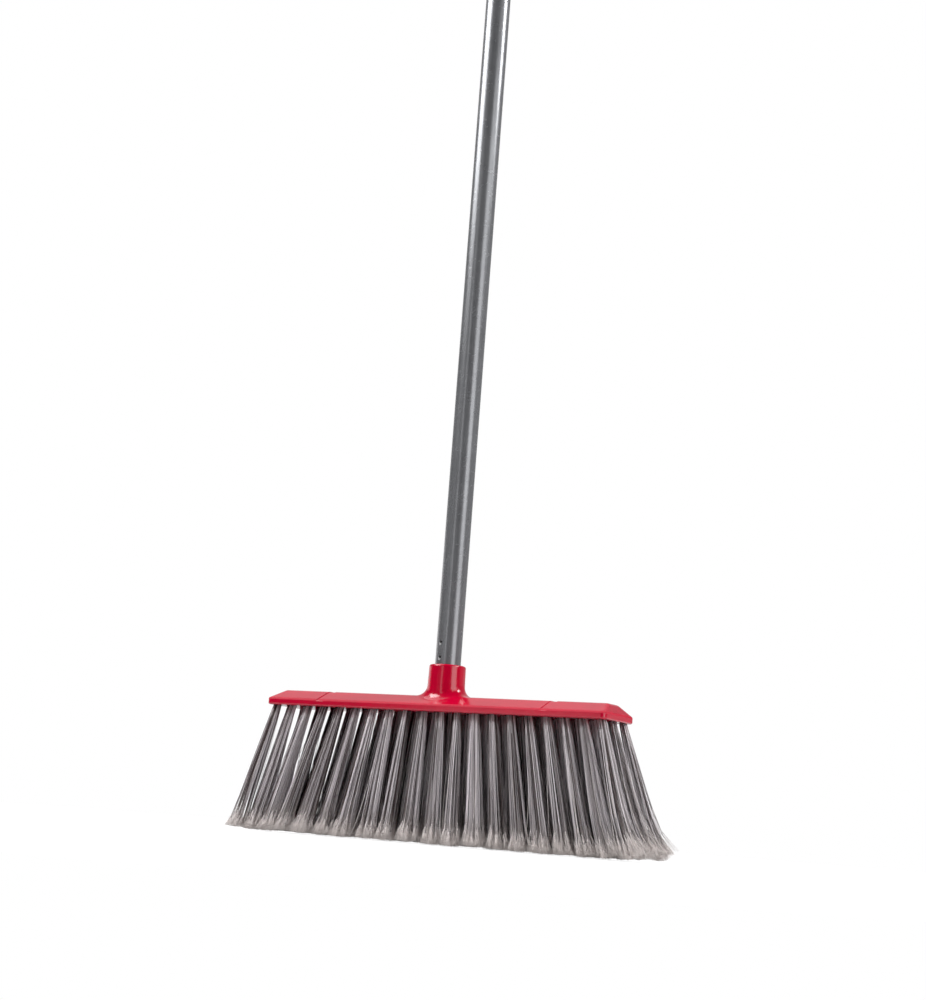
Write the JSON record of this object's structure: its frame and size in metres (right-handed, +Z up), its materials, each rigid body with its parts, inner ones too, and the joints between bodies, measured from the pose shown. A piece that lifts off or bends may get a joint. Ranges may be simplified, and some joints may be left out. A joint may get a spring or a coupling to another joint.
{
  "type": "broom",
  "caption": "Household broom: moulded block with an upright screw socket, rows of flagged tufts that fan out, and a long tube handle with a hanger eye.",
  "frame": {"origin": "on the floor, under the middle of the block, at the centre of the bristle tips", "axes": "+Z up along the handle, +X along the block, +Y across it, away from the side that faces the camera"},
  "size_m": [0.3856, 0.0684, 1.3674],
  "materials": {
    "block_plastic": "glossy crimson moulded polypropylene",
    "bristle": "grey polyester fibre with split pale tips",
    "anchor_wire": "flat drawn wire",
    "handle_paint": "satin grey coating on steel tube",
    "insert_plastic": "plain moulded plastic",
    "cap_plastic": "satin dark grey moulded plastic"
  },
  "bodies": {
    "head": {"block": "block_plastic", "tuft_anchors": "anchor_wire", "bristle_row_1": "bristle", "bristle_row_2": "bristle", "bristle_row_3": "bristle", "bristle_row_4": "bristle", "bristle_row_5": "bristle"},
    "handle": {"handle_tube": "handle_paint", "thread_insert": "insert_plastic", "hanger_cap": "cap_plastic"}
  },
  "joints": [
    {"name": "handle_turn", "type": "hinge", "parent": "head", "child": "handle", "pos_m": [0, 0, 0.1513], "axis": [0, 0, 1], "range_deg": [0, 1440]}
  ]
}
